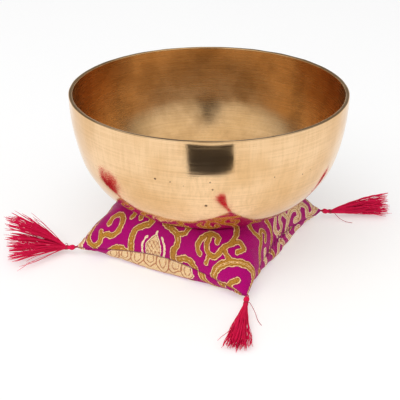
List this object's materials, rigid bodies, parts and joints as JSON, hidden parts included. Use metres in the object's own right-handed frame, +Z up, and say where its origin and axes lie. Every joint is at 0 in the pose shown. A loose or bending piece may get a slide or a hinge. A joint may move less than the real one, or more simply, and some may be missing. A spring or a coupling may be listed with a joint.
{
  "type": "singing bowl",
  "caption": "Beaten brass singing bowl with a bright turned finish, resting on a square gold and magenta brocade cushion with a crimson thread tassel at each corner.",
  "frame": {"origin": "centre of the cushion's flat base, on the table", "axes": "+Z up through the bowl's mouth; X and Y run along the sides of the square cushion, and the closing stitches are on its +X side"},
  "size_m": [0.2448, 0.2368, 0.121],
  "materials": {
    "brass": "polished on a lathe, with fine rings around the bowl",
    "brocade": "satin ground with woven gold scrolls",
    "stuffing": "loose cotton",
    "sewing_thread": "sewing thread",
    "tassel_thread": "shiny twisted thread"
  },
  "bodies": {
    "cushion": {"cover_top": "brocade", "cover_bottom": "brocade", "filling": "stuffing", "closing_stitches": "sewing_thread"},
    "bowl": {"bowl": "brass"},
    "front_loop": {"front_tassel_loop": "tassel_thread"},
    "front_tassel": {"front_tassel_strands": "tassel_thread", "front_tassel_binding": "tassel_thread"},
    "right_loop": {"right_tassel_loop": "tassel_thread"},
    "right_tassel": {"right_tassel_strands": "tassel_thread", "right_tassel_binding": "tassel_thread"},
    "back_loop": {"back_tassel_loop": "tassel_thread"},
    "back_tassel": {"back_tassel_strands": "tassel_thread", "back_tassel_binding": "tassel_thread"},
    "left_loop": {"left_tassel_loop": "tassel_thread"},
    "left_tassel": {"left_tassel_strands": "tassel_thread", "left_tassel_binding": "tassel_thread"}
  },
  "joints": [
    {"name": "bowl_lift", "type": "slide", "parent": "cushion", "child": "bowl", "axis": [0, 0, 1], "range_m": [0, 0.1]},
    {"name": "front_loop_swing", "type": "hinge", "parent": "cushion", "child": "front_loop", "pos_m": [0.0705, -0.0705, 0.007], "axis": [0, 0, 1], "range_deg": [-48, 102]},
    {"name": "front_tassel_raise", "type": "hinge", "parent": "front_loop", "child": "front_tassel", "pos_m": [0.07161, -0.07392, 0.0062], "axis": [-0.9511, -0.309, 0], "range_deg": [0, 60]},
    {"name": "right_loop_swing", "type": "hinge", "parent": "cushion", "child": "right_loop", "pos_m": [0.0705, 0.0705, 0.007], "axis": [0, 0, 1], "range_deg": [-67, 83]},
    {"name": "right_tassel_raise", "type": "hinge", "parent": "right_loop", "child": "right_tassel", "pos_m": [0.07337, 0.07267, 0.0062], "axis": [0.6018, -0.7986, 0], "range_deg": [0, 60]},
    {"name": "back_loop_swing", "type": "hinge", "parent": "cushion", "child": "back_loop", "pos_m": [-0.0705, 0.0705, 0.007], "axis": [0, 0, 1], "range_deg": [-87, 63]},
    {"name": "back_tassel_raise", "type": "hinge", "parent": "back_loop", "child": "back_tassel", "pos_m": [-0.07352, 0.07246, 0.0062], "axis": [0.5446, 0.8387, 0], "range_deg": [0, 60]},
    {"name": "left_loop_swing", "type": "hinge", "parent": "cushion", "child": "left_loop", "pos_m": [-0.0705, -0.0705, 0.007], "axis": [0, 0, 1], "range_deg": [-44, 106]},
    {"name": "left_tassel_raise", "type": "hinge", "parent": "left_loop", "child": "left_tassel", "pos_m": [-0.07399, -0.07137, 0.0062], "axis": [-0.2419, 0.9703, 0], "range_deg": [0, 60]}
  ]
}
